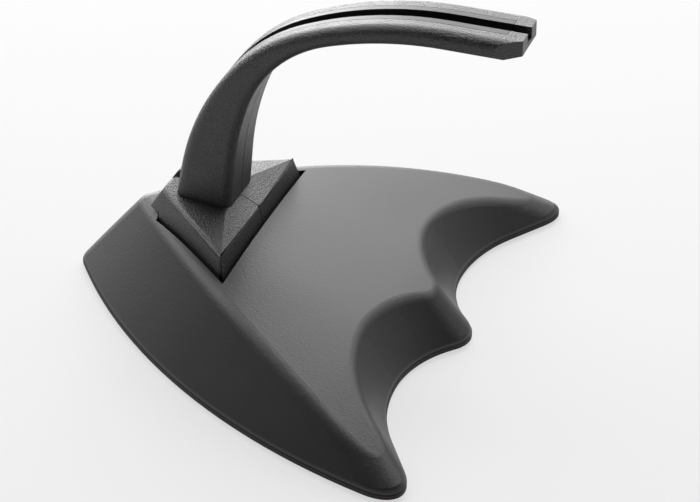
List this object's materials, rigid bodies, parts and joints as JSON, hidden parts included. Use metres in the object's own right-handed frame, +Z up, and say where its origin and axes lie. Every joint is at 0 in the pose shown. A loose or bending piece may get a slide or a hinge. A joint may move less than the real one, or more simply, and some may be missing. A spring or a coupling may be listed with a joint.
{
  "type": "mouse bungee",
  "caption": "Mouse bungee: a weighted fan-shaped base with front prongs, a faceted foot, and a C-shaped arm with an open channel along its outer edge that holds a mouse lead clear of the desk.",
  "frame": {"origin": "middle of the footprint, on the surface that the rubber pads stand on", "axes": "+Z up, +X from the base's pointed back towards the prongs and the arm's tip, +Y across the base"},
  "size_m": [0.1036, 0.1184, 0.0793],
  "materials": {
    "soft_touch": "charcoal soft-touch coating, matte",
    "plate_plastic": "black moulded plastic, fine grain",
    "ballast_steel": "zinc-plated steel",
    "pad_rubber": "black non-slip rubber",
    "screw_steel": "zinc-plated steel",
    "arm_plastic": "black moulded plastic, fine grain",
    "channel_plastic": "black moulded plastic, smooth"
  },
  "bodies": {
    "root": {"base_cover": "soft_touch", "base_plate": "plate_plastic", "ballast_weight": "ballast_steel", "pad_back": "pad_rubber", "pad_front": "pad_rubber", "pad_near": "pad_rubber", "pad_far": "pad_rubber", "plate_screws": "screw_steel", "foot_screws": "screw_steel", "arm_half_near": "arm_plastic", "arm_half_far": "arm_plastic", "cable_channel": "channel_plastic"}
  },
  "joints": []
}
